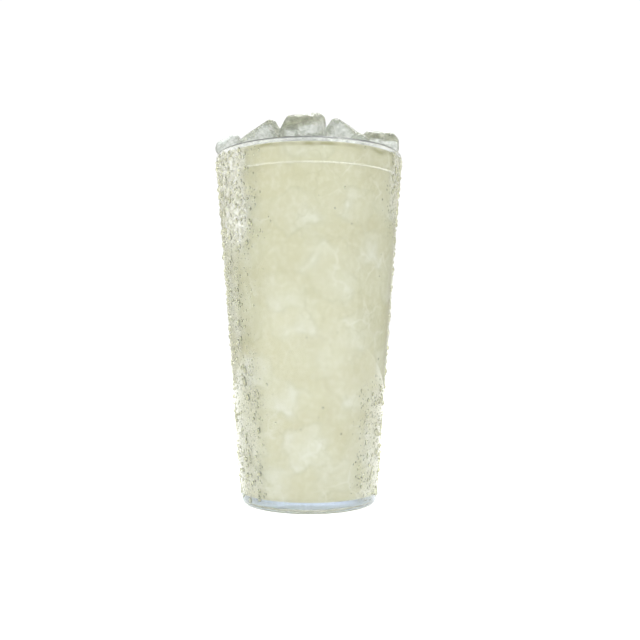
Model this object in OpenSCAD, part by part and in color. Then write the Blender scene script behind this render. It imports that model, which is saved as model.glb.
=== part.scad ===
// Tall clear tumbler filled almost to the lip with cloudy lemonade and topped with a heap of ice.
// Millimetres, +Z up. The origin is the centre of the underside, on the surface it stands on.
// +X is to the right and -Y is to the front.

/* [Tumbler] */
// Height from the table to the top of the lip
tumbler_h = 161.3; // [120:0.1:220]
// Outside diameter across the lip
lip_d = 87; // [70:0.5:120]
// Diameter that the tapered side wall would reach at the table
base_d = 63; // [50:0.1:80]
// Thickness of the side wall, measured level
wall_t = 2; // [1.2:0.1:3.5]
// Radius of the rounded heel where the side wall turns under
heel_r = 2.4; // [1:0.1:4]

/* [Base] */
// Height of the inside floor above the table
floor_z = 5; // [4:0.1:12]
// Radius of the fillet between the inside floor and the wall
floor_fillet_r = 2.5; // [1:0.1:6]
// Depth of the recess under the floor
recess_h = 1.7; // [0.5:0.1:2.5]
// Width of the flat foot ring round the recess
foot_w = 2.6; // [1.5:0.1:5]

/* [Stacking band] */
// Height of the thicker band below the lip
band_h = 11; // [5:0.5:20]
// How far the band stands out from the wall below it
band_step = 0.4; // [0.1:0.05:1]

/* [Lemonade] */
// Depth of the lemonade's surface below the lip
fill_gap = 3; // [2:0.5:30]

/* [Ice] */
// Edge of a typical ice cube
ice_size = 19; // [13:0.5:24]
// Chamfer that melting has left along the edges of a cube
ice_melt = 2.2; // [1:0.1:4]
// Largest angle by which a melted face leans out of square
ice_skew = 6; // [0:0.5:10]
// Space left between the corners of the outer cubes and the tumbler's wall
ice_wall_gap = 0.3; // [0.2:0.1:3]

/* [Hidden] */
$fn = 96;
// Steps in each rounded corner of the tumbler's section
ARC_STEPS = 12;
// One row for each cube: its bearing, its share of the way from the axis to the place where its
// corners meet the wall, how far it leans out over the lip past that place, the height of its
// centre above the lemonade, its size along its own three axes, and its tilt about the X, Y and Z
// axes. The lean, height and size are shares of ice_size. A bearing of 0 is towards +X and 270 is
// towards the front.
CUBES = [
    [180, 1.00, 0.16, 0.27, [0.62, 0.68, 0.78], [0, -32, 3]],
    [220, 1.00, 0.00, 0.19, [1.04, 0.90, 0.98], [6, -37, 10]],
    [266, 0.98, 0.00, 0.18, [0.86, 0.88, 0.94], [-4, -11, 13]],
    [308, 1.00, 0.00, 0.16, [0.90, 0.82, 0.94], [6, 39, -6]],
    [355, 1.00, 0.00, 0.15, [0.78, 0.96, 0.96], [-4, 5, -6]],
    [40, 1.00, 0.00, 0.15, [1.00, 0.90, 0.96], [20, 16, 30]],
    [86, 1.00, 0.00, 0.14, [0.94, 0.92, 0.90], [-12, 20, -18]],
    [134, 0.98, 0.00, 0.17, [0.96, 0.88, 0.96], [18, -26, 40]],
    [300, 0.06, 0.00, 0.10, [1.04, 0.96, 0.96], [16, 10, 25]]
];

// The lip is a half round across the wall and the band. It is lip_t wide, measured level.
lip_t = wall_t + band_step;
// The side wall's lean: its radius grows by slope for each unit of height.
slope = (lip_d / 2 - band_step - base_d / 2) / (tumbler_h - lip_t / 2);
taper = atan(slope);
lip_r = lip_t * cos(taper) / 2;
level_z = tumbler_h - fill_gap;

function wall_radius(z) = base_d / 2 + slope * z;
function inside_radius(z) = wall_radius(z) - wall_t;

// A point turned about the x, then the y, then the z axis, as rotate() does it.
function turn_x(p, a) = [p.x, p.y * cos(a) - p.z * sin(a), p.y * sin(a) + p.z * cos(a)];
function turn_y(p, a) = [p.x * cos(a) + p.z * sin(a), p.y, p.z * cos(a) - p.x * sin(a)];
function turn_z(p, a) = [p.x * cos(a) - p.y * sin(a), p.x * sin(a) + p.y * cos(a), p.z];
function turned(p, tilt) = turn_z(turn_y(turn_x(p, tilt.x), tilt.y), tilt.z);

// How far out a box of this size and tilt goes, on a bearing, before a corner meets the wall.
function reach(size, tilt, bearing) =
    let (room = inside_radius(level_z) - ice_wall_gap)
    min([
        for (x = [-1, 1], y = [-1, 1], z = [-1, 1])
            let (corner = turned([x * size.x, y * size.y, z * size.z] / 2, tilt - [0, 0, bearing]))
            sqrt(room * room - corner.y * corner.y) - corner.x
    ]);

// Points along an arc, from angle a0 to angle a1.
function arc(centre, r, a0, a1) = [
    for (k = [0 : ARC_STEPS])
        let (a = a0 + (a1 - a0) * k / ARC_STEPS)
        centre + r * [cos(a), sin(a)]
];

// The rounded corner of a tapered cup, from its level bottom at z0 to its slanted side. foot is
// the radius that the side would reach at z = 0.
function cup_corner(foot, z0, r) =
    arc([foot + slope * (z0 + r) - r / cos(taper), z0 + r], r, -90, -taper);

// The inside corner, from the floor to the wall, which the tumbler and the lemonade share.
function floor_corner() = cup_corner(base_d / 2 - wall_t, floor_z, floor_fillet_r);

module cavity_outline(z1) {
    polygon(concat([[0, floor_z]], floor_corner(), [[inside_radius(z1), z1], [0, z1]]));
}

// Half section of the tumbler: the recess with its 45 degree edge, the foot ring and the heel, the
// side wall, the band with its 45 degree edge, the lip, and back down the inside.
module tumbler_outline() {
    foot_in = wall_radius(0) - heel_r - foot_w;
    band_z = tumbler_h - band_h;
    lip_z = tumbler_h - lip_r;
    lip_x = wall_radius(lip_z) + band_step - lip_t / 2;
    inside = floor_corner();
    polygon(concat(
        [[0, recess_h], [foot_in - recess_h, recess_h], [foot_in, 0]],
        cup_corner(base_d / 2, 0, heel_r),
        [[wall_radius(band_z), band_z]],
        [[wall_radius(band_z + band_step) + band_step, band_z + band_step]],
        arc([lip_x, lip_z], lip_r, -taper, 180 - taper),
        [for (k = [ARC_STEPS : -1 : 0]) inside[k]],
        [[0, floor_z]]
    ));
}

module tumbler() {
    color([0.86, 0.91, 0.95, 0.35]) rotate_extrude() tumbler_outline();
}

// A cube with melted edges. A second cube, turned by the three small angles in skew, takes it
// out of square, and the same angles turn the chamfers.
module melted_cube(size, skew) {
    edge = [for (k = [0 : 2]) (size[(k + 1) % 3] + size[(k + 2) % 3] - 2 * ice_melt) / sqrt(2)];
    long = 2 * max(size);
    intersection() {
        cube(size, center = true);
        rotate(skew) cube(size, center = true);
        rotate([45 + skew.y, 0, 0]) cube([long, edge.x, edge.x], center = true);
        rotate([0, 45 + skew.z, 0]) cube([edge.y, long, edge.y], center = true);
        rotate([0, 0, 45 + skew.x]) cube([edge.z, edge.z, long], center = true);
        sphere(r = norm(size) / 2 - ice_melt);
    }
}

// One ice cube in its place, before it makes room for its neighbours.
module placed_cube(i) {
    row = CUBES[i];
    bearing = row[0];
    size = ice_size * row[4];
    tilt = row[5];
    out = row[1] * reach(size - [1, 1, 1] * ice_melt, tilt, bearing) + ice_size * row[2];
    skew = rands(-ice_skew, ice_skew, 3, i + 1);
    translate([out * cos(bearing), out * sin(bearing), level_z + ice_size * row[3]])
        rotate(tilt) melted_cube(size, skew);
}

// Where cubes would overlap, the later one gives way to the earlier ones, and all of them give
// way to the tumbler.
module ice(i) {
    color([0.88, 0.93, 0.93, 0.6]) difference() {
        placed_cube(i);
        for (j = [0 : 1 : i - 1]) placed_cube(j);
        rotate_extrude() tumbler_outline();
    }
}

module lemonade() {
    color([0.85, 0.85, 0.76]) difference() {
        rotate_extrude() cavity_outline(level_z);
        for (i = [0 : len(CUBES) - 1]) placed_cube(i);
    }
}

tumbler();
lemonade();
for (i = [0 : len(CUBES) - 1]) ice(i);
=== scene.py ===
"""A tall tumbler of cloudy lemonade heaped with ice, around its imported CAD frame.

Metres, +Z up, -Y towards the viewer. The tumbler, the drink and the ice above it stand for CAD
nodes. The ice sunk in the drink and the condensation on the wall are added here.
"""

import math
import random

import bpy
import numpy as np
from mathutils import Euler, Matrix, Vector, noise
from mathutils.bvhtree import BVHTree


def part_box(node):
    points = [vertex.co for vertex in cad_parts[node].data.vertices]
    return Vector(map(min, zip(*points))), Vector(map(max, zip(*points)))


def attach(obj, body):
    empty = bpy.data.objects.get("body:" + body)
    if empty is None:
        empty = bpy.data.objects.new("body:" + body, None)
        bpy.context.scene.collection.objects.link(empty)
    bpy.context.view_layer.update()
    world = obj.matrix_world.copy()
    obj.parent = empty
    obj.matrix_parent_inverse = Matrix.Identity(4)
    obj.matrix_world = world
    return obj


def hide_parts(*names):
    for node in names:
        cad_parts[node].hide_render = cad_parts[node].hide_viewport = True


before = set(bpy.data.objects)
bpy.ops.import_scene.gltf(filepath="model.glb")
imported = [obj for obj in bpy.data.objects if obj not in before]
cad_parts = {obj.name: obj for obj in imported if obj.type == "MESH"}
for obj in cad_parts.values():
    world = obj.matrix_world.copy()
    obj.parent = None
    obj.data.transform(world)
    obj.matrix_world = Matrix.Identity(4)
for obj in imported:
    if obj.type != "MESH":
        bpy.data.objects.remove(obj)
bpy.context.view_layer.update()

MM = 0.001
BODY = "root"
WHITE = (1, 1, 1, 1)

# --- Sizes, from the frame where it gives them ---------------------------------------------------

glass_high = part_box("tumbler")[1]
drink_low, drink_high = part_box("lemonade")
HEIGHT = glass_high.z
LIP_RADIUS = glass_high.x
LEVEL = drink_high.z
FLOOR = drink_low.z

FOOT_RADIUS = 31.5 * MM  # of the side wall, carried down to the table
WALL = 2.0 * MM
BAND_HEIGHT = 11 * MM  # of the slightly wider band under the lip
BAND_STEP = 0.4 * MM
HEEL = 2.4 * MM
FLOOR_FILLET = 2.5 * MM
RECESS = 1.7 * MM
FOOT_WIDTH = 2.6 * MM
BITE = 0.06 * MM  # how far the drink and the drops reach into the glass
CLIMB = 1.1 * MM  # how far the drink climbs the wall

LIP_WIDTH = WALL + BAND_STEP
SLOPE = (LIP_RADIUS - BAND_STEP - FOOT_RADIUS) / (HEIGHT - LIP_WIDTH / 2)
TAPER = math.atan(SLOPE)
LIP_RING = LIP_WIDTH * math.cos(TAPER) / 2
BAND_Z = HEIGHT - BAND_HEIGHT


def wall_radius(z):
    """Radius of the outside of the wall at height z, band included."""
    step = min(max(z - BAND_Z, 0), BAND_STEP)
    return FOOT_RADIUS + SLOPE * z + step


def inside_radius(z):
    return FOOT_RADIUS + SLOPE * z - WALL


# --- Meshes --------------------------------------------------------------------------------------


def make_object(name, points, faces, sharp_angle=None):
    """A smooth-shaded mesh object, with edges sharper than the angle left crisp."""
    mesh = bpy.data.meshes.new(name)
    mesh.from_pydata(points, [], faces)
    mesh.update()
    mesh.polygons.foreach_set("use_smooth", [True] * len(mesh.polygons))
    if sharp_angle is not None:
        mesh.set_sharp_from_angle(angle=math.radians(sharp_angle))
    piece = bpy.data.objects.new(name, mesh)
    bpy.context.scene.collection.objects.link(piece)
    return piece


def arc(centre, radius, start, end, steps):
    """Points (r, z) along an arc, angles in degrees."""
    angles = np.radians(np.linspace(start, end, steps + 1))
    return [(centre[0] + radius * math.cos(a), centre[1] + radius * math.sin(a)) for a in angles]


def cup_corner(foot, z, radius, steps):
    """The rounded corner of a tapered cup, from its level bottom to its slanted side."""
    centre = (foot + SLOPE * (z + radius) - radius / math.cos(TAPER), z + radius)
    return arc(centre, radius, -90, -math.degrees(TAPER), steps)


def revolve(name, profile, segments, sharp_angle):
    """A closed solid of revolution. The profile runs from the axis back to the axis."""
    inner = profile[1:-1]
    angles = np.linspace(0, 2 * math.pi, segments, endpoint=False)
    points = [(r * math.cos(a), r * math.sin(a), z) for r, z in inner for a in angles]
    points += [(0, 0, profile[0][1]), (0, 0, profile[-1][1])]
    first_pole, last_pole = len(points) - 2, len(points) - 1
    faces = []
    last_ring = (len(inner) - 1) * segments
    for k in range(segments):
        after = (k + 1) % segments
        for ring in range(len(inner) - 1):
            a, b = ring * segments, (ring + 1) * segments
            faces.append((a + k, a + after, b + after, b + k))
        faces.append((first_pole, after, k))
        faces.append((last_pole, last_ring + k, last_ring + after))
    return make_object(name, points, faces, sharp_angle)


def vertex_array(mesh):
    points = np.zeros(len(mesh.vertices) * 3, np.float32)
    mesh.vertices.foreach_get("co", points)
    return points.reshape(-1, 3)


def set_attribute(mesh, name, values):
    layer = mesh.attributes.new(name, "FLOAT", "POINT")
    layer.data.foreach_set("value", np.asarray(values, np.float32))


def settle(piece, slot, material, *nodes):
    """Gives a finished piece its material and its body, and hides the nodes it stands for. The slot
    is not used.
    """
    piece.data.materials.clear()
    piece.data.materials.append(material)
    if nodes:
        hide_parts(*nodes)
    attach(piece, BODY)


# --- Materials -----------------------------------------------------------------------------------


def srgb(red, green, blue):
    """A colour given as 0 to 255 display values, as the linear values that shaders take."""

    def linear(value):
        value /= 255
        return value / 12.92 if value <= 0.04045 else ((value + 0.055) / 1.055) ** 2.4

    return (linear(red), linear(green), linear(blue), 1)


class Material:
    """A node material round one Principled shader, with short calls for the nodes used here."""

    def __init__(self, name, **sockets):
        self.material = bpy.data.materials.new(name)
        self.material.use_nodes = True
        self.tree = self.material.node_tree
        self.shader = self.tree.nodes["Principled BSDF"]
        for socket, value in sockets.items():
            label = socket.replace("_", " ").title().replace("Ior", "IOR")
            self.shader.inputs[label].default_value = value

    def node(self, kind, **values):
        made = self.tree.nodes.new(kind)
        for key, value in values.items():
            setattr(made, key, value)
        return made

    def link(self, output, socket):
        self.tree.links.new(output, socket)

    def place(self, scale=(1, 1, 1)):
        """The point being shaded, in metres, stretched by scale."""
        coordinates = self.node("ShaderNodeTexCoord")
        mapping = self.node("ShaderNodeMapping")
        mapping.inputs["Scale"].default_value = scale
        self.link(coordinates.outputs["Object"], mapping.inputs["Vector"])
        return mapping.outputs["Vector"]

    def noise(self, size, detail=2.0, stretch=(1, 1, 1)):
        """Noise with features about size metres across."""
        made = self.node("ShaderNodeTexNoise")
        made.inputs["Scale"].default_value = 1 / size
        made.inputs["Detail"].default_value = detail
        self.link(self.place(stretch), made.inputs["Vector"])
        return made.outputs["Fac"]

    def veins(self, size, width):
        """Thin broken curves, about size metres apart."""
        warp = self.node("ShaderNodeTexNoise")
        warp.inputs["Scale"].default_value = 1.6 / size
        warp.inputs["Detail"].default_value = 3.0
        place = self.place()
        self.link(place, warp.inputs["Vector"])
        bent = self.node("ShaderNodeVectorMath", operation="MULTIPLY_ADD")
        self.link(warp.outputs["Color"], bent.inputs[0])
        bent.inputs[1].default_value = (size, size, size)
        self.link(place, bent.inputs[2])
        cells = self.node("ShaderNodeTexVoronoi", feature="DISTANCE_TO_EDGE")
        cells.inputs["Scale"].default_value = 1 / size
        self.link(bent.outputs["Vector"], cells.inputs["Vector"])
        line = self.remap(cells.outputs["Distance"], 0.0, width, 1.0, 0.0)
        gaps = self.remap(self.noise(0.8 * size), 0.45, 0.6, 0.0, 1.0)
        return self.math("MULTIPLY", line, gaps)

    def attribute(self, name):
        return self.node("ShaderNodeAttribute", attribute_name=name).outputs["Fac"]

    def ramp(self, factor, *stops):
        made = self.node("ShaderNodeValToRGB")
        elements = made.color_ramp.elements
        while len(elements) < len(stops):
            elements.new(0.5)
        for element, (position, colour) in zip(elements, stops):
            element.position = position
            element.color = colour
        self.link(factor, made.inputs["Fac"])
        return made.outputs["Color"]

    def remap(self, value, low, high, to_low, to_high):
        """The value stretched from low and high to to_low and to_high, and held between them."""
        made = self.node("ShaderNodeMapRange")
        ends = {"From Min": low, "From Max": high, "To Min": to_low, "To Max": to_high}
        for socket, number in ends.items():
            made.inputs[socket].default_value = number
        self.link(value, made.inputs["Value"])
        return made.outputs["Result"]

    def feed(self, sockets, values):
        """Sets each socket to its number or colour, or links it to its node output."""
        for socket, value in zip(sockets, values):
            if isinstance(value, (int, float, tuple)):
                socket.default_value = value
            else:
                self.link(value, socket)

    def math(self, operation, first, second):
        made = self.node("ShaderNodeMath", operation=operation)
        self.feed(made.inputs, (first, second))
        return made.outputs[0]

    def mix(self, factor, first, second):
        """From the first colour to the second as the factor goes from 0 to 1."""
        made = self.node("ShaderNodeMix", data_type="RGBA")
        colour_inputs = (made.inputs[0], made.inputs[6], made.inputs[7])
        self.feed(colour_inputs, (factor, first, second))
        return made.outputs[2]

    def tinge(self, base, mask, amount, colour):
        """The base, taken this much of the way to a colour where the mask is 1."""
        return self.mix(self.math("MULTIPLY", mask, amount), base, colour)

    def bump(self, height, depth, strength=1.0):
        """Relief of the given depth in metres."""
        made = self.node("ShaderNodeBump")
        made.inputs["Strength"].default_value = strength
        made.inputs["Distance"].default_value = depth
        self.link(height, made.inputs["Height"])
        self.link(made.outputs["Normal"], self.shader.inputs["Normal"])

    def set(self, socket, value):
        self.link(value, self.shader.inputs[socket])


def glass_material():
    """Clear glass, bluish through its thick foot, with a fog of fine mist, a painted highlight on
    the band's step and a painted dark shade line along the rim.
    """
    glass = Material(
        "clear_glass",
        base_color=WHITE,
        roughness=0.01,
        ior=1.5,
        transmission_weight=1.0,
    )
    absorption = glass.node("ShaderNodeVolumeAbsorption")
    absorption.inputs["Color"].default_value = (0.5, 0.7, 1.0, 1)
    absorption.inputs["Density"].default_value = 12.0
    output = glass.tree.nodes["Material Output"]
    glass.link(absorption.outputs["Volume"], output.inputs["Volume"])

    # Painted shade: the rim mask darkens the lip's crown and makes it less clear, in place of the
    # dark that the rounded lip refracts.
    rim = glass.attribute("rim")
    patches = glass.remap(glass.noise(2.5 * MM, 3.0), 0.35, 0.7, 0.4, 1.0)
    fog = glass.math("MULTIPLY", glass.attribute("fog"), patches)
    tint = glass.mix(fog, WHITE, (1.0, 1.0, 0.95, 1))
    glass.set("Base Color", glass.mix(rim, tint, (0.12, 0.13, 0.14, 1)))
    clear = glass.remap(fog, 0.0, 1.0, 1.0, 0.45)
    rim_shade_clear = glass.remap(rim, 0.0, 1.0, 1.0, 0.5)
    glass.set("Transmission Weight", glass.math("MULTIPLY", clear, rim_shade_clear))
    misted = glass.remap(fog, 0.0, 1.0, 0.01, 0.3)
    glass.set("Roughness", glass.math("MAXIMUM", misted, glass.attribute("ground")))
    glass.bump(glass.noise(24 * MM, 1.0, stretch=(1, 1, 0.5)), 0.25 * MM)
    return glass.material


def lemonade_material():
    """Cloudy lemonade, painted paler where ice lies near the wall as if the ice showed through,
    with faint painted shade lines along the patches' edges.
    """
    drink = Material("cloudy_lemonade", roughness=0.3, ior=1.33)
    # Painted light: the ramp makes the drink paler where ice lies close behind its surface.
    base = drink.ramp(
        drink.attribute("ice_near"),
        (0.0, srgb(202, 199, 164)),
        (0.35, srgb(209, 207, 178)),
        (1.0, srgb(223, 223, 206)),
    )
    clouds = drink.remap(drink.noise(16 * MM, 4.0), 0.35, 0.65, 0.0, 1.0)
    grain = drink.remap(drink.noise(2.4 * MM, 4.0), 0.45, 0.7, 0.0, 1.0)
    base = drink.tinge(base, clouds, 0.4, srgb(214, 215, 189))
    base = drink.tinge(base, grain, 0.2, srgb(238, 238, 226))
    # Painted shade: darker lines along the edges of the pale ice patches.
    base = drink.tinge(base, drink.attribute("ice_edge_shade"), 0.4, srgb(190, 190, 158))
    base = drink.tinge(base, drink.veins(13 * MM, 0.04), 0.4, srgb(188, 187, 152))
    base = drink.tinge(base, drink.veins(21 * MM, 0.04), 0.3, srgb(240, 240, 230))
    base = drink.mix(drink.attribute("contact_line"), base, srgb(160, 157, 110))
    drink.set("Base Color", base)
    drink.bump(drink.noise(6 * MM), 0.05 * MM)
    return drink.material


def ice_material():
    """Wet ice, mottled and partly frosted, with painted light making its upward-facing tops paler.
    """
    ice = Material("wet_ice", ior=1.31)
    base = ice.ramp(
        ice.noise(1.6 * MM, 4.0),
        (0.34, (0.46, 0.49, 0.45, 1)),
        (0.5, (0.59, 0.62, 0.57, 1)),
        (0.66, (0.82, 0.83, 0.81, 1)),
    )
    # Painted light: faces that point up are painted paler, as if lit from above.
    facing = ice.node("ShaderNodeSeparateXYZ")
    ice.link(ice.node("ShaderNodeNewGeometry").outputs["Normal"], facing.inputs["Vector"])
    upward = ice.remap(facing.outputs["Z"], 0.25, 0.9, 0.0, 0.7)
    ice.set("Base Color", ice.mix(upward, base, (0.93, 0.95, 0.92, 1)))
    frost = ice.remap(ice.noise(5 * MM, 4.0), 0.42, 0.7, 0.0, 1.0)
    ice.set("Transmission Weight", ice.remap(frost, 0.0, 1.0, 0.94, 0.76))
    ice.set("Roughness", ice.remap(frost, 0.0, 1.0, 0.04, 0.25))
    ice.bump(ice.noise(1.3 * MM, 3.0), 0.4 * MM, strength=0.7)
    return ice.material


def sunk_ice_material():
    ice = Material("sunk_ice", base_color=srgb(228, 231, 220), roughness=0.25, ior=1.31)
    ice.bump(ice.noise(4 * MM), 0.2 * MM)
    return ice.material


def water_material():
    water = Material(
        "condensed_water",
        # Painted shade: the base colour is darkened and tinted olive, in place of the drink seen
        # through the drops.
        base_color=(0.9, 0.9, 0.76, 1),
        roughness=0.0,
        ior=1.33,
        transmission_weight=0.96,
    )
    return water.material


# --- The tumbler ---------------------------------------------------------------------------------

RING_HIGHLIGHT = 0.3  # painted highlight, as a whitish fog on the step under the band
HAZE = 0.5  # on the wall above the drink
UNDERSIDE_FOG = 0.55
POLISHED, GROUND = 0.01, 0.12  # roughness of the wall and of the underside
RIM_SHADE_START = 1.0 * MM  # the lip's painted dark shade line starts this far below its crown
RIM_SHADE_FADE = 0.25 * MM  # and is at its darkest this much higher
MIST_FROM, MIST_SPAN = 0.25, 0.6  # wetness where mist starts, and over which it thickens
THICKEST_MIST = 0.85


def tumbler():
    foot_in = wall_radius(0) - HEEL - FOOT_WIDTH
    lip_z = HEIGHT - LIP_RING
    lip_r = wall_radius(lip_z) - LIP_WIDTH / 2
    outside_start = cup_corner(FOOT_RADIUS, 0, HEEL, 14)
    inside_start = cup_corner(FOOT_RADIUS - WALL, FLOOR, FLOOR_FILLET, 14)
    side_z = np.linspace(outside_start[-1][1], BAND_Z, 40)[1:-1]
    inside_z = np.linspace(lip_z, inside_start[-1][1], 40)[1:-1]
    tilt = math.degrees(TAPER)
    profile = [(0, RECESS)]
    profile += [(share * (foot_in - RECESS), RECESS) for share in (0.25, 0.5, 0.75, 1)]
    profile += [(foot_in, 0)]
    profile += outside_start
    profile += [(wall_radius(z), z) for z in side_z]
    near_band = (BAND_Z - 0.4 * MM, BAND_Z, BAND_Z + BAND_STEP, BAND_Z + BAND_STEP + 0.4 * MM)
    profile += [(wall_radius(z), z) for z in near_band]
    profile += [(wall_radius(z), z) for z in np.linspace(near_band[-1], lip_z, 6)[1:-1]]
    profile += arc((lip_r, lip_z), LIP_RING, -tilt, 180 - tilt, 16)
    profile += [(inside_radius(z), z) for z in inside_z]
    profile += inside_start[::-1]
    profile += [(share * inside_start[0][0], FLOOR) for share in (0.75, 0.5, 0.25)]
    profile += [(0, FLOOR)]
    piece = revolve("tumbler_glass", profile, 256, sharp_angle=28)
    dress_glass(piece.data, foot_in, lip_r)
    settle(piece, "glass", glass_material(), "tumbler")


def dress_glass(mesh, foot_in, lip_r):
    """Marks where the glass is fogged, with a painted highlight on the band's step, where it is
    ground and where its painted rim shade runs.
    """
    fog, ground, rim = [], [], []
    for x, y, z in vertex_array(mesh):
        radius = math.hypot(x, y)
        outside = radius > wall_radius(z) - 0.3 * MM and z > 3 * MM
        underside = z < RECESS + 0.1 * MM and radius < foot_in + 0.1 * MM
        mist = mist_at(wetness(drawn_bearing(x, y), z, patchiness=0.3)) if outside else 0
        # Painted highlight: a thin whitish fog along the band's step.
        ring = RING_HIGHLIGHT if outside and abs(z - BAND_Z - BAND_STEP / 2) < 0.3 * MM else 0
        haze = HAZE if outside and z > LEVEL + 0.5 * MM else 0
        fog.append(max(mist, ring, haze, UNDERSIDE_FOG if underside else 0))
        ground.append(GROUND if underside else POLISHED)
        # Painted shade: the outside of the lip's crown gets the dark rim line.
        crown = min(1, max(0, (z - HEIGHT + RIM_SHADE_START) / RIM_SHADE_FADE))
        rim.append(crown if radius > lip_r + 0.15 * MM else 0)
    set_attribute(mesh, "fog", fog)
    set_attribute(mesh, "ground", ground)
    set_attribute(mesh, "rim", rim)


def mist_at(wet):
    """How thick the fog of mist is where the wall is this wet."""
    return min(THICKEST_MIST, max(0, wet - MIST_FROM) / MIST_SPAN)


# --- Ice -----------------------------------------------------------------------------------------

ICE_NUMBERS = range(1, 10)
USUAL_GROWTH = 0.4  # millimetres added to a block all over before it melts
GROWTH = {1: 1.2, 2: 0.6, 3: 1.9, 4: 1.5, 5: 2.0}  # the same, for blocks that grow more
LEAN = {4: -3.5}  # millimetres that a block's top leans towards +X
ICE_ROOM = 0.15 * MM  # kept between the ice and the inside of the wall
SPREAD = 0.9  # how far ice may lean out above the lip, for each metre it rises
LEAN_HEIGHT = 9 * MM  # height above the drink at which a block has its full lean
SCALLOP = 6 * MM  # size of the scallops that melting leaves
SUNK_BLOCK = 18 * MM


def roughen(mesh, amount, seed, growth):
    """Melts a block's surface unevenly with scallops and dents, after growing it all over."""
    points = vertex_array(mesh)
    normals = np.zeros(len(mesh.vertices) * 3, np.float32)
    mesh.vertices.foreach_get("normal", normals)
    offset = Vector((seed * 3.1, seed * 1.7, seed * 2.3))
    moves = []
    for point in points:
        place = Vector(point) / SCALLOP + offset
        scallop = min(noise.voronoi(place)[0][0], 0.8) / 0.8
        dent = 0.5 + 0.5 * noise.noise(place * 0.6)
        ripple = 0.5 + 0.5 * noise.noise(place * 3.0)
        moves.append(growth - amount * (0.45 * scallop + 0.35 * dent + 0.2 * ripple))
    points += normals.reshape(-1, 3) * np.array(moves, np.float32)[:, None]
    mesh.vertices.foreach_set("co", points.ravel())
    mesh.update()


def settle_ice(mesh, lean):
    """Leans a block's top sideways, and holds it clear of the glass and, above that, of the lip."""
    for vertex in mesh.vertices:
        x, y, z = vertex.co
        x += lean * min(1, max(0, (z - LEVEL) / LEAN_HEIGHT))
        if z < HEIGHT:
            room = inside_radius(z) - ICE_ROOM
        else:
            room = inside_radius(HEIGHT) - ICE_ROOM + (z - HEIGHT) * SPREAD
        share = min(1, room / max(math.hypot(x, y), 1e-6))
        vertex.co = (x * share, y * share, z)


def evaluated_mesh(piece):
    depsgraph = bpy.context.evaluated_depsgraph_get()
    return bpy.data.meshes.new_from_object(piece.evaluated_get(depsgraph))


def ice_above(material):
    """Stands for each CAD ice block with a melted, finely meshed copy of it."""
    pieces = []
    for index in ICE_NUMBERS:
        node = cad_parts[f"ice_{index}"]
        piece = bpy.data.objects.new(f"ice_block_{index}", node.data.copy())
        bpy.context.scene.collection.objects.link(piece)
        remesh = piece.modifiers.new("remesh", "REMESH")
        remesh.mode = "VOXEL"
        remesh.voxel_size = 0.5 * MM
        soften = piece.modifiers.new("soften", "SMOOTH")
        soften.factor = 0.5
        soften.iterations = 6
        mesh = evaluated_mesh(piece)
        piece.modifiers.clear()
        piece.data = mesh
        mesh.polygons.foreach_set("use_smooth", [True] * len(mesh.polygons))
        roughen(mesh, 1.1 * MM, index, growth=GROWTH.get(index, USUAL_GROWTH) * MM)
        settle_ice(mesh, LEAN.get(index, 0) * MM)
        settle(piece, "ice", material, f"ice_{index}")
        pieces.append(piece)
    return pieces


def block_template(steps):
    """A cube's surface from -1 to 1 as a grid of points and faces, with shared edges."""
    found = {}
    faces = []
    for axis in range(3):
        for side in (-1, 1):
            grid = []
            for i in range(steps + 1):
                for j in range(steps + 1):
                    point = [0.0, 0.0, 0.0]
                    point[axis] = side
                    point[(axis + 1) % 3] = -1 + 2 * i / steps
                    point[(axis + 2) % 3] = -1 + 2 * j / steps
                    key = tuple(round(value * steps) for value in point)
                    grid.append(found.setdefault(key, len(found)))
            for i in range(steps):
                for j in range(steps):
                    a = i * (steps + 1) + j
                    quad = (grid[a], grid[a + steps + 1], grid[a + steps + 2], grid[a + 1])
                    faces.append(quad if side > 0 else quad[::-1])
    points = np.array(list(found), float) / steps
    return points, np.array(faces)


def rounded_block(points, size, edge_radius):
    """The template as a block of that size with its edges rounded."""
    half = np.array(size) / 2
    full = points * half
    core = np.clip(full, -(half - edge_radius), half - edge_radius)
    out = full - core
    length = np.linalg.norm(out, axis=1, keepdims=True)
    return core + out / np.maximum(length, 1e-9) * edge_radius


def row_places(rng, row, z):
    """Where one row of sunk blocks goes, (distance out, bearing): a ring, and one in its middle."""
    ring = inside_radius(z) - 0.56 * SUNK_BLOCK
    count = int(2 * math.pi * ring / (1.12 * SUNK_BLOCK))
    places = []
    for k in range(count):
        out = ring - rng.uniform(0, 2.2) * MM
        places.append((out, 2 * math.pi * (k + 0.5 * row + rng.uniform(-0.18, 0.18)) / count))
    places.append((rng.uniform(0, 2) * MM, rng.uniform(0, 6)))
    return places


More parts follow.
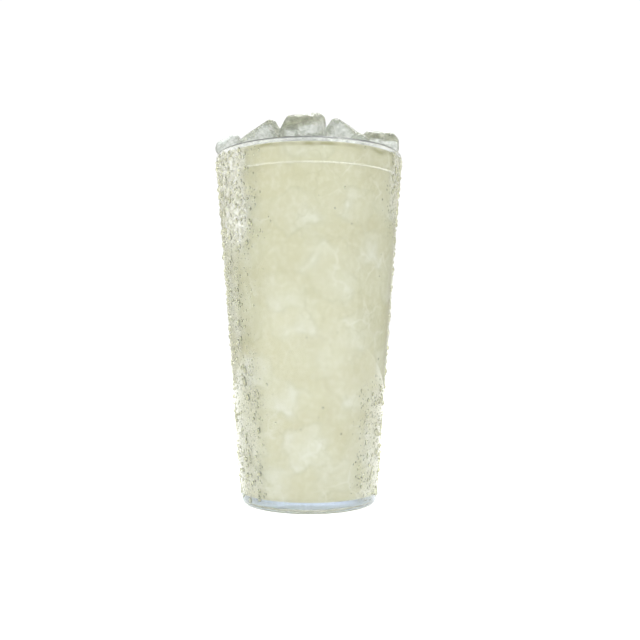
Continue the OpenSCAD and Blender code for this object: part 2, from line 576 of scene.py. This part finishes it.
def sunk_ice(rng, material):
    """Blocks packed in rows from the floor up to the heap, most of them near the wall."""
    template, template_faces = block_template(8)
    all_points, all_faces = [], []
    z = FLOOR + 0.55 * SUNK_BLOCK
    row = 0
    while z < LEVEL - 0.9 * SUNK_BLOCK:
        for out, bearing in row_places(rng, row, z):
            size = [SUNK_BLOCK * rng.uniform(0.82, 1.05) for _ in range(3)]
            tip = (rng.uniform(-0.5, 0.5), rng.uniform(-0.5, 0.5))
            turn = Euler((*tip, bearing + rng.uniform(-0.7, 0.7)))
            centre_z = z + rng.uniform(-3.5, 3.5) * MM
            centre = Vector((out * math.cos(bearing), out * math.sin(bearing), centre_z))
            shape = rounded_block(template, size, rng.uniform(1.5, 3.0) * MM)
            shape = shape @ np.array(turn.to_matrix()).T + np.array(centre)
            radius = np.hypot(shape[:, 0], shape[:, 1])
            room = np.array([inside_radius(height) for height in shape[:, 2]]) - 0.25 * MM
            squeeze = np.minimum(1, room / np.maximum(radius, 1e-6))
            shape[:, :2] *= squeeze[:, None]
            shape[:, 2] = np.maximum(shape[:, 2], FLOOR + 0.4 * MM)
            all_faces.append(template_faces + len(template) * len(all_points))
            all_points.append(shape)
        z += 0.93 * SUNK_BLOCK
        row += 1
    points, faces = np.concatenate(all_points), np.concatenate(all_faces)
    piece = make_object("sunk_ice", points.tolist(), faces.tolist())
    roughen(piece.data, 1.8 * MM, 50, growth=0.6 * MM)
    settle(piece, "ice", material)
    return piece


# --- The drink -----------------------------------------------------------------------------------

DRINK_SEGMENTS = 340
ICE_REACH = 30 * MM  # how deep behind the wall ice is looked for
ICE_CLEAR = 2 * MM  # ice this close shows fully
ICE_FADE = 4.2 * MM
SIDE_RAYS = 4  # spread round the one that looks straight in
WAVER_SEED = 5  # of the noise vectors, which Blender otherwise draws from the clock
CALM_DEPTH = 16 * MM  # over this depth below the level the patches grow to full strength


def ice_tree(pieces):
    points, faces = [], []
    for piece in pieces:
        start = len(points)
        points += [vertex.co.copy() for vertex in piece.data.vertices]
        faces += [[start + index for index in face.vertices] for face in piece.data.polygons]
    return BVHTree.FromPolygons(points, faces)


def ice_seen(tree, place, inward, rng):
    """How pale ice makes the drink here, as painted light from 0 to 1: all rays together, and the
    straight one.
    """
    # The offset makes the outlines of the pale patches waver.
    offset = noise.noise_vector(place / (5 * MM)) * 2.2 * MM
    offset += noise.noise_vector(place / (1.6 * MM)) * 0.5 * MM
    start = place + offset - inward * 2 * MM
    straight, around = 0.0, 0.0
    for k in range(1 + SIDE_RAYS):
        spread = 0.0 if k == 0 else 0.5
        direction = inward + Vector([rng.uniform(-spread, spread) for _ in range(3)])
        _, normal, _, distance = tree.ray_cast(start, direction.normalized(), ICE_REACH)
        if distance is None:
            continue
        near = math.exp(-max(0, distance - ICE_CLEAR) / ICE_FADE)
        # Painted light and shade: facets that face the ray squarely are painted paler than those
        # seen slantwise.
        pale = near * (0.6 + 0.4 * abs(normal.dot(direction)))
        if k == 0:
            straight = pale
        else:
            around += pale / SIDE_RAYS
    return 0.6 * straight + 0.4 * around, straight


def slope_of(values):
    """How steeply a closed grid of values changes from point to point."""
    before, after = np.roll(values, 1, axis=1), np.roll(values, -1, axis=1)
    along = np.abs(values - before) + np.abs(after - values)
    up = np.zeros_like(values)
    up[1:-1] = np.abs(values[2:] - values[:-2])
    return np.clip((along + up) * 1.6, 0, 1)


def contact_line(place):
    """The darker line where the drink's surface meets the wall, wavering and broken."""
    waver = 1.6 * MM * noise.noise(place / (8 * MM))
    edge = abs(place.z - LEVEL - waver) / (1.1 * MM)
    strength = min(1, max(0.1, 0.6 + 1.2 * noise.noise(place / (5 * MM))))
    return max(0, 1 - edge * edge) * strength


def lemonade(ice_pieces, rng):
    corner = cup_corner(FOOT_RADIUS - WALL + BITE, FLOOR - BITE, FLOOR_FILLET, 6)
    side_z = np.linspace(corner[-1][1], LEVEL + CLIMB, 232)[1:]
    profile = [(0, FLOOR - BITE)]
    profile += [(share * corner[0][0], FLOOR - BITE) for share in (0.33, 0.66)]
    profile += corner
    profile += [(inside_radius(z) + BITE, z) for z in side_z]
    rim = inside_radius(LEVEL)
    for distance in (0.25, 0.6, 1.1, 1.8, 2.8):
        profile += [(rim - distance * MM, LEVEL + CLIMB * math.exp(-distance / 0.8))]
    profile += [(r, LEVEL) for r in np.linspace(rim - 4 * MM, 2 * MM, 28)]
    profile += [(0, LEVEL)]
    piece = revolve("lemonade_drink", profile, DRINK_SEGMENTS, sharp_angle=50)
    mesh = piece.data
    tree = ice_tree(ice_pieces)
    near, straight, line = [], [], []
    for vertex in mesh.vertices:
        x, y, z = vertex.co
        on_wall = math.hypot(x, y) > inside_radius(z) - 0.5 * MM
        level_way = Vector((0, 0, -1 if z > LEVEL / 2 else 1))
        inward = Vector((-x, -y, 0)).normalized() if on_wall else level_way
        soft, hard = ice_seen(tree, vertex.co, inward, rng)
        near.append(soft * (0.4 + 0.6 * min(1, max(0, (LEVEL - z) / CALM_DEPTH))))
        straight.append(hard)
        line.append(contact_line(vertex.co) if on_wall else 0)
    rings = (len(mesh.vertices) - 2) // DRINK_SEGMENTS
    edge_shade = slope_of(np.array(straight[:-2]).reshape(rings, DRINK_SEGMENTS))
    set_attribute(mesh, "ice_near", near)
    set_attribute(mesh, "ice_edge_shade", list(edge_shade.ravel()) + [0, 0])
    set_attribute(mesh, "contact_line", line)
    settle(piece, "lemonade", lemonade_material(), "lemonade")


# --- Condensation --------------------------------------------------------------------------------

# Bearings are in degrees and run from 20 to 380, with 270 at the front, 180 at the left edge and
# 360 at the right one. Heights are in millimetres.
FIRST_BEARING = 20
ANY_HEIGHT = (-math.inf, math.inf, 1)

# How wet each part of the wall is: strength, then (from, to, softness) in bearing and in height.
WET_PARTS = (
    (1.0, (150, 220, 12), (124, 158, 9)),  # upper left
    (0.55, (150, 208, 14), (50, 124, 12)),  # left
    (0.44, (150, 224, 9), (5, 62, 10)),  # lower left
    (0.5, (322, 372, 11), (5, 48, 9)),  # lower right
    (0.75, (336, 372, 8), (134, 158, 8)),  # upper right
    (0.6, (352, 400, 5), ANY_HEIGHT),  # right edge
    (0.6, (120, 189, 5), ANY_HEIGHT),  # left edge
    (0.34, (10, 150, 6), ANY_HEIGHT),  # back
)
STRAY = 0.004  # the few drops that are everywhere
WIDE_DROPS = (198, 226, 8)  # bearings and softness where drops are up to 1.4 times as wide
LOWEST_DROP = 3.5 * MM
DRY_LIP = 2.4 * MM  # no drops lie this close to the top


def plateau(value, low, high, soft):
    """1 between low and high, falling smoothly to 0 over soft outside them."""
    if value < low:
        return math.exp(-(((value - low) / soft) ** 2))
    if value > high:
        return math.exp(-(((value - high) / soft) ** 2))
    return 1.0


def wetness(bearing, z, patchiness=0.6):
    """How thickly drops cover the wall, from 0 to a little over 1."""
    height = z / MM
    bearing += 5 * noise.noise((0, height / 14, 3))
    wettest = max(
        strength * plateau(bearing, *around) * plateau(height, *up)
        for strength, around, up in WET_PARTS
    )
    patchy = 0.75 + patchiness * noise.noise((bearing / 9, height / 9, 0))
    return wettest * patchy + STRAY


def wrapped(bearing):
    """A bearing from 0 to 360 degrees, as wetness counts it."""
    return bearing if bearing > FIRST_BEARING else bearing + 360


def drawn_bearing(x, y):
    return wrapped(math.degrees(math.atan2(y, x)) % 360)


def dome(rings, segments):
    """A unit dome: points (u, v, share of height) and faces, closed underneath."""
    points = [(0, 0, 1)]
    for ring in range(1, rings + 1):
        share = ring / rings
        for k in range(segments):
            angle = 2 * math.pi * (k + 0.5 * (ring % 2)) / segments
            points.append((share * math.cos(angle), share * math.sin(angle), 1 - share * share))
    points.append((0, 0, 0))
    foot = len(points) - 1
    faces = []
    for k in range(segments):
        after = (k + 1) % segments
        faces.append((0, 1 + k, 1 + after))
        for ring in range(rings - 1):
            a, b = 1 + ring * segments, 1 + (ring + 1) * segments
            if (ring + 1) % 2:
                faces.append((a + k, b + k, a + after))
                faces.append((a + after, b + k, b + after))
            else:
                faces.append((a + k, b + k, b + after))
                faces.append((a + k, b + after, a + after))
        last = 1 + (rings - 1) * segments
        faces.append((foot, last + after, last + k))
    return np.array(points), np.array(faces)


class Wall:
    """The outside of the wall, and the drops that already sit on it."""

    CELL = 4 * MM  # of the grid in which near drops are looked up

    def __init__(self):
        self.taken = {}

    def cell(self, along, z):
        return int(along / self.CELL), int(z / self.CELL)

    def free(self, bearing, z, radius, room):
        """Whether a drop fits here, at least room times both radii from each drop near it."""
        along = math.radians(bearing) * wall_radius(z)
        column, row = self.cell(along, z)
        for i in (-1, 0, 1):
            for j in (-1, 0, 1):
                for near_along, near_z, near_radius in self.taken.get((column + i, row + j), ()):
                    gap = math.hypot(along - near_along, z - near_z)
                    if gap < room * (radius + near_radius):
                        return False
        return True

    def take(self, bearing, z, radius):
        along = math.radians(bearing) * wall_radius(z)
        self.taken.setdefault(self.cell(along, z), []).append((along, z, radius))

    def fit(self, shape, bearing, z):
        """Moves a drop's (sideways, upwards, outwards) points on to the wall."""
        across, back = math.cos(math.radians(bearing)), math.sin(math.radians(bearing))
        lean_out, lean_up = math.cos(TAPER), math.sin(TAPER)
        outward = np.array((across * lean_out, back * lean_out, -lean_up))
        upward = np.array((across * lean_up, back * lean_up, lean_out))
        sideways = np.array((-back, across, 0))
        radius = wall_radius(z)
        centre = np.array((radius * across, radius * back, z))
        return centre + shape @ np.array((sideways, upward, outward))


def drop_shape(template, radius, height, sag, rng):
    """One drop: a little uneven, and drawn out and narrower upwards by its sag."""
    shape = template.copy()
    stretch = 1 + rng.uniform(-0.12, 0.12)
    shape[:, 0] *= radius * stretch
    shape[:, 1] *= radius / stretch
    upper = shape[:, 1] > 0
    shape[upper, 1] *= 1 + 1.6 * sag
    shape[upper, 0] *= 1 - 0.35 * sag * shape[upper, 1] / (radius * (1 + 1.6 * sag))
    shape[:, 2] = shape[:, 2] * (height + BITE) - BITE
    return shape


def scatter_drops(
    name, wall, rng, material, *, count, tries, rings, segments, radii, sag, room, power, driest=0
):
    """Scatters drops where the wall is wet. Bigger drops are scattered before smaller ones.

    Each drop is a dome of that many rings and segments. A higher power keeps drops to the wettest
    places, and none lie where the wall is less wet than driest.
    """
    template, faces = dome(rings, segments)
    all_points, all_faces = [], []
    placed = 0
    for _ in range(tries):
        if placed >= count:
            break
        bearing = rng.uniform(0, 360)
        z = rng.uniform(LOWEST_DROP, HEIGHT - DRY_LIP)
        wet = wetness(wrapped(bearing), z)
        if wet < driest or rng.random() > wet**power:
            continue
        radius = radii[0] * (radii[1] / radii[0]) ** (rng.random() ** 1.6)
        if not wall.free(bearing, z, radius, room):
            continue
        wall.take(bearing, z, radius)
        height = radius * rng.uniform(0.65, 0.9)
        shape = drop_shape(template, radius, height, sag * rng.random(), rng)
        shape[:, 0] *= 1 + 0.4 * plateau(bearing, *WIDE_DROPS) * rng.random()
        all_points.append(wall.fit(shape, bearing, z))
        all_faces.append(faces + placed * len(template))
        placed += 1
    points, faces = np.concatenate(all_points), np.concatenate(all_faces)
    piece = make_object(name, points.tolist(), faces.tolist())
    settle(piece, "glass", material)


def condensation(rng):
    water = water_material()
    wall = Wall()
    scatter_drops("beads", wall, rng, water, count=1500, tries=90000, rings=3, segments=12,
                  radii=(0.5 * MM, 1.35 * MM), sag=1.0, room=1.15, power=2.0, driest=0.2)
    scatter_drops("drops", wall, rng, water, count=5000, tries=90000, rings=2, segments=9,
                  radii=(0.24 * MM, 0.55 * MM), sag=0.5, room=1.05, power=1.2)
    scatter_drops("mist", wall, rng, water, count=11000, tries=140000, rings=1, segments=6,
                  radii=(0.12 * MM, 0.24 * MM), sag=0.0, room=1.0, power=1.3)


# --- The studio ----------------------------------------------------------------------------------


def backdrop():
    """White below and all round, and dark overhead, so that clear edges read."""
    world = bpy.data.worlds.new("studio")
    bpy.context.scene.world = world
    world.use_nodes = True
    nodes, links = world.node_tree.nodes, world.node_tree.links
    direction = nodes.new("ShaderNodeTexCoord")
    split = nodes.new("ShaderNodeSeparateXYZ")
    ramp = nodes.new("ShaderNodeValToRGB")
    links.new(direction.outputs["Generated"], split.inputs["Vector"])
    links.new(split.outputs["Z"], ramp.inputs["Fac"])
    links.new(ramp.outputs["Color"], nodes["Background"].inputs["Color"])
    around, overhead = ramp.color_ramp.elements
    around.position = 0.46
    around.color = WHITE
    overhead.position = 0.66
    overhead.color = (0.35, 0.35, 0.35, 1)
    nodes["Background"].inputs["Strength"].default_value = 1.05


def floor(name, z, colour, glow, tint=WHITE):
    plane = make_object(name, [(-6, -6, z), (6, -6, z), (6, 6, z), (-6, 6, z)], [(0, 1, 2, 3)])
    paper = Material(
        f"{name}_paper",
        base_color=colour,
        roughness=0.9,
        emission_color=tint,
        emission_strength=glow,
    )
    plane.data.materials.append(paper.material)
    return plane


def side_screen(name, side, dim):
    """A curved screen out of view that shades one edge, dim only where it is behind the glass."""
    steps, reach, height = 48, 0.7, 0.9
    angles = np.radians(np.linspace(12, 112, steps + 1))  # 0 is straight behind, 90 at the side
    points = [
        (side * reach * math.sin(a), reach * math.cos(a), z) for z in (0, height) for a in angles
    ]
    faces = [(k, k + 1, steps + 2 + k, steps + 1 + k) for k in range(steps)]
    screen = make_object(f"screen_{name}", points, faces)
    set_attribute(screen.data, "share", np.tile(np.linspace(0, 1, steps + 1), 2))
    cloth = Material("screen_cloth", base_color=(0, 0, 0, 1), roughness=1.0, emission_strength=1.0)
    glow = cloth.ramp(
        cloth.attribute("share"),
        (0.0, (1.05, 1.05, 1.05, 1)),
        (0.2, (dim, dim, 0.87 * dim, 1)),
        (0.4, (1.12 * dim, 1.12 * dim, dim, 1)),
        (0.62, (1.0, 1.0, 0.97, 1)),
        (1.0, (1.05, 1.05, 1.05, 1)),
    )
    cloth.set("Emission Color", glow)
    screen.data.materials.append(cloth.material)
    screen.visible_camera = False
    screen.visible_shadow = False


# Each softbox: name, place, width, height, watts, and whether it shows in reflections.
SOFTBOXES = (
    ("key", (-0.65, -0.7, 0.55), 0.6, 0.8, 6.8, False),
    ("fill", (0.65, -0.75, 0.45), 0.6, 0.8, 5.3, False),
    ("top", (0.1, 0.3, 1.0), 0.4, 0.4, 5, True),
    ("back_left", (-0.55, 0.7, 0.5), 0.6, 0.8, 7.5, False),
    ("back_right", (0.55, 0.7, 0.5), 0.6, 0.8, 7.5, False),
)


def softboxes():
    target = Vector((0, 0, HEIGHT / 2))
    for name, place, width, height, watts, mirrored in SOFTBOXES:
        light = bpy.data.lights.new(name, "AREA")
        light.shape = "RECTANGLE"
        light.size = width
        light.size_y = height
        light.energy = watts
        lamp = bpy.data.objects.new(name, light)
        lamp.location = place
        lamp.rotation_euler = (target - lamp.location).to_track_quat("-Z", "Y").to_euler()
        lamp.visible_glossy = mirrored
        bpy.context.scene.collection.objects.link(lamp)


def studio():
    scene = bpy.context.scene
    scene.view_settings.view_transform = "Standard"
    scene.view_settings.look = "None"
    scene.cycles.max_bounces = 24
    scene.cycles.transmission_bounces = 24
    scene.cycles.transparent_max_bounces = 16
    scene.cycles.glossy_bounces = 8
    backdrop()

    # The camera sees only the white floor. The one just under it lights the glass from below.
    seen = floor("floor", 0, (0.93, 0.93, 0.93, 1), 0.8)
    seen.visible_diffuse = seen.visible_glossy = False
    seen.visible_transmission = seen.visible_shadow = False
    bounce = floor("floor_bounce", -0.5 * MM, (0.6, 0.6, 0.61, 1), 1.0, (0.95, 0.975, 1.0, 1))
    bounce.visible_camera = False

    softboxes()
    side_screen("left", -1, 0.45)
    side_screen("right", 1, 0.43)

    camera = bpy.data.objects.new("camera", bpy.data.cameras.new("camera"))
    camera.data.lens = 44.7
    camera.data.sensor_width = 36
    camera.data.shift_x = 0.0172
    camera.data.shift_y = 0.0328
    camera.data.clip_start = 0.01
    camera.location = (0, -0.375, 0.0754)
    camera.rotation_euler = (math.radians(90), 0, 0)
    scene.collection.objects.link(camera)
    scene.camera = camera


studio()
tumbler()
above = ice_above(ice_material())
sunk = sunk_ice(random.Random(7), sunk_ice_material())
noise.seed_set(WAVER_SEED)
lemonade(above + [sunk], random.Random(11))
condensation(random.Random(23))
